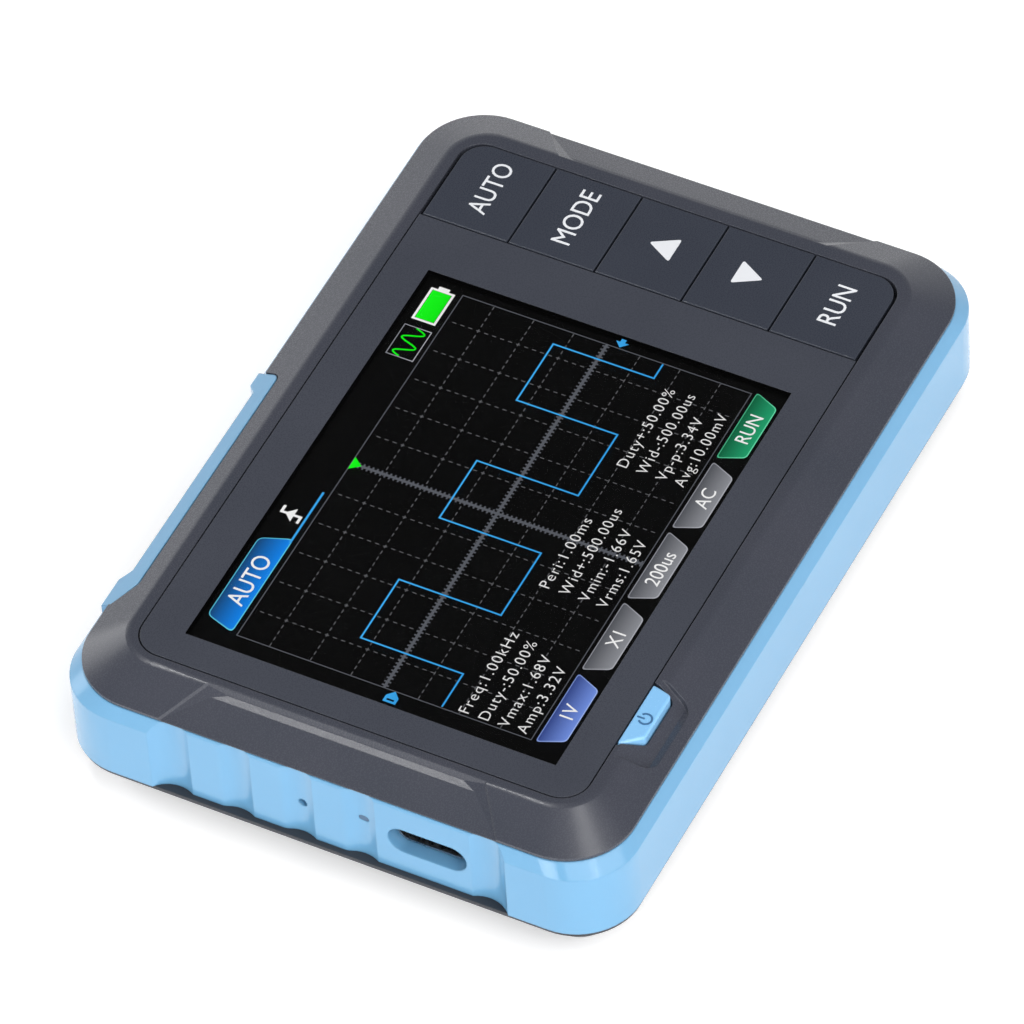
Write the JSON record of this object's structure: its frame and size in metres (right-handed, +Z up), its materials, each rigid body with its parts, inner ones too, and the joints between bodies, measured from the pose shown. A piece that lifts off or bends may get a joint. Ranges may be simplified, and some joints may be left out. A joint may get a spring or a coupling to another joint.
{
  "type": "oscilloscope",
  "caption": "Pocket digital oscilloscope in a two-tone plastic case, with a colour display, a column of flush keys, a power key, a coaxial signal jack and a USB charging socket.",
  "frame": {"origin": "middle of the footprint, on the surface that the object lies on", "axes": "+Z up out of the display, +X from the USB end to the key end, +Y towards the signal jack side"},
  "size_m": [0.099, 0.0694, 0.0195],
  "materials": {
    "dark_shell": "fine satin texture",
    "dark_panel": "satin",
    "dark_key": "satin",
    "blue_frame": "glossy",
    "blue_key": "satin",
    "window": "clear",
    "display": "dark",
    "display_back": "white",
    "ribbon": "amber film",
    "socket_plastic": "moulded",
    "board": "solder mask",
    "chip": "moulded",
    "shield_tin": "bright",
    "gold_plate": "plated",
    "white_plastic": "moulded",
    "clear_plastic": "clear",
    "foam": "foam tape",
    "pouch": "laminated foil",
    "lead_rubber": "insulated wire",
    "screw_steel": "black zinc"
  },
  "bodies": {
    "case": {"top_cover": "dark_shell", "bottom_cover": "dark_shell", "front_panel": "dark_panel", "display_window": "window", "middle_frame": "blue_frame", "port_plate": "dark_panel", "case_screws": "screw_steel", "lcd_glass": "display", "lcd_backlight": "display_back", "lcd_ribbon": "ribbon", "lcd_connector": "socket_plastic", "main_board": "board", "main_processor": "chip", "signal_converter": "chip", "input_amplifier": "chip", "input_shield": "shield_tin", "charge_controller": "chip", "clock_crystal": "shield_tin", "power_inductor": "chip", "signal_jack": "gold_plate", "jack_insulator": "white_plastic", "jack_pin": "gold_plate", "calibration_contact": "gold_plate", "usb_shell": "shield_tin", "usb_tongue": "socket_plastic", "charge_light": "white_plastic", "light_pipe": "clear_plastic", "reset_switch": "socket_plastic", "battery_pad": "foam", "battery_cell": "pouch", "battery_socket": "white_plastic", "battery_leads": "lead_rubber", "power_switch": "socket_plastic", "auto_switch": "socket_plastic", "mode_switch": "socket_plastic", "up_switch": "socket_plastic", "down_switch": "socket_plastic", "run_switch": "socket_plastic"},
    "power_key": {"power_key": "blue_key", "power_plunger": "white_plastic"},
    "reset_button": {"reset_plunger": "white_plastic"},
    "auto_key": {"auto_key": "dark_key", "auto_plunger": "white_plastic"},
    "mode_key": {"mode_key": "dark_key", "mode_plunger": "white_plastic"},
    "up_key": {"up_key": "dark_key", "up_plunger": "white_plastic"},
    "down_key": {"down_key": "dark_key", "down_plunger": "white_plastic"},
    "run_key": {"run_key": "dark_key", "run_plunger": "white_plastic"}
  },
  "joints": [
    {"name": "auto_press", "type": "slide", "parent": "case", "child": "auto_key", "axis": [0, 0, -1], "range_m": [0, 0.00035], "stiffness_N_per_m": 300},
    {"name": "mode_press", "type": "slide", "parent": "case", "child": "mode_key", "axis": [0, 0, -1], "range_m": [0, 0.00035], "stiffness_N_per_m": 300},
    {"name": "up_press", "type": "slide", "parent": "case", "child": "up_key", "axis": [0, 0, -1], "range_m": [0, 0.00035], "stiffness_N_per_m": 300},
    {"name": "down_press", "type": "slide", "parent": "case", "child": "down_key", "axis": [0, 0, -1], "range_m": [0, 0.00035], "stiffness_N_per_m": 300},
    {"name": "run_press", "type": "slide", "parent": "case", "child": "run_key", "axis": [0, 0, -1], "range_m": [0, 0.00035], "stiffness_N_per_m": 300},
    {"name": "power_press", "type": "slide", "parent": "case", "child": "power_key", "axis": [0, 0, -1], "range_m": [0, 0.00025], "stiffness_N_per_m": 300},
    {"name": "reset_press", "type": "slide", "parent": "case", "child": "reset_button", "axis": [1, 0, 0], "range_m": [0, 0.00025], "stiffness_N_per_m": 300}
  ]
}
